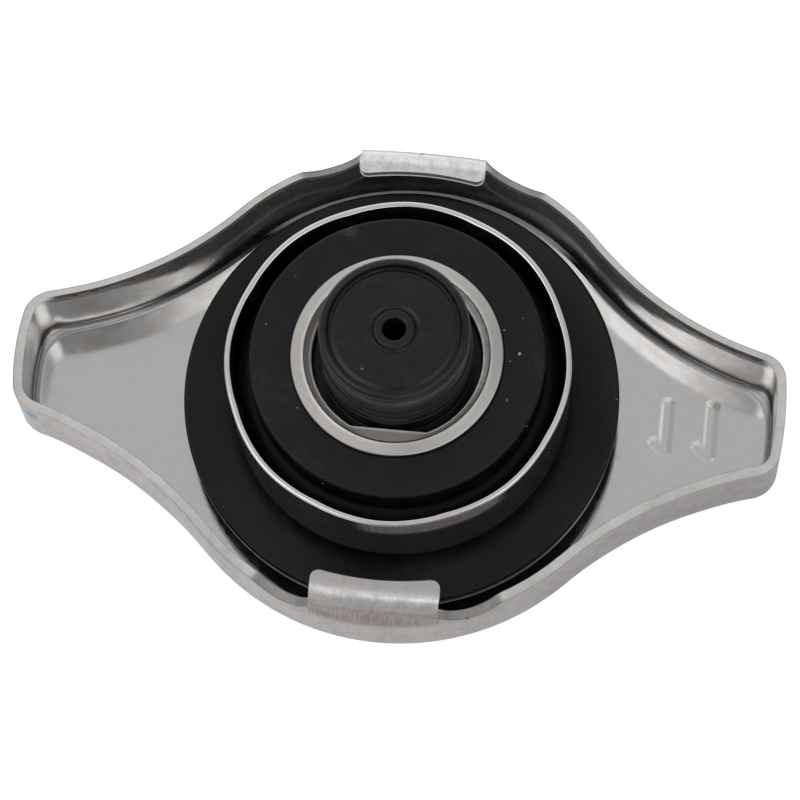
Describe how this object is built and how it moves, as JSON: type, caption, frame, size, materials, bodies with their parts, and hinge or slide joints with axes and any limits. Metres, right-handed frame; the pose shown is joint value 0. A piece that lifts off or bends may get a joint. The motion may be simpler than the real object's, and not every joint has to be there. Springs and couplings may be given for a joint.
{
  "type": "radiator cap",
  "caption": "Pressure cap for a radiator filler neck: pressed steel cover with two ears and bent-in locking tabs, neck gasket, spring cup, pressure valve and vacuum valve.",
  "frame": {"origin": "centre of the cover's outer face, on which the cap lies", "axes": "+Z out of the open side towards the filler neck, X along the ears, Y through the two locking tabs"},
  "size_m": [0.0634, 0.0412, 0.0204],
  "materials": {
    "cover_steel": "polished inside, drawn and brushed outside",
    "rivet_steel": "satin",
    "spring_steel": "satin spring steel",
    "gasket_rubber": "satin",
    "cup_steel": "bright drawn steel",
    "seal_rubber": "satin with dust",
    "eyelet_steel": "satin with a bright roll",
    "plug_plastic": "satin moulded"
  },
  "bodies": {
    "cover_side": {"cover": "cover_steel", "rivet": "rivet_steel", "rivet_washer": "rivet_steel", "seal_spring": "spring_steel"},
    "neck_side": {"gasket": "gasket_rubber", "cup": "cup_steel", "pressure_spring": "spring_steel"},
    "pressure_valve": {"valve_plate": "cup_steel", "pressure_seal": "seal_rubber", "seal_retainer": "eyelet_steel", "vacuum_housing": "plug_plastic", "vacuum_spring": "spring_steel"},
    "vacuum_valve": {"vacuum_disc": "rivet_steel", "vacuum_face": "seal_rubber"}
  },
  "joints": [
    {"name": "swivel", "type": "hinge", "parent": "cover_side", "child": "neck_side", "pos_m": [0, 0, 0.003], "axis": [0, 0, 1], "continuous": true},
    {"name": "pressure_lift", "type": "slide", "parent": "neck_side", "child": "pressure_valve", "axis": [0, 0, -1], "range_m": [0, 0.0022], "stiffness_N_per_m": 15000, "springref_m": -0.003, "deforming": ["pressure_spring"]},
    {"name": "vacuum_lift", "type": "slide", "parent": "pressure_valve", "child": "vacuum_valve", "axis": [0, 0, 1], "range_m": [0, 0.0015], "stiffness_N_per_m": 100, "springref_m": -0.002, "deforming": ["vacuum_spring"]}
  ]
}
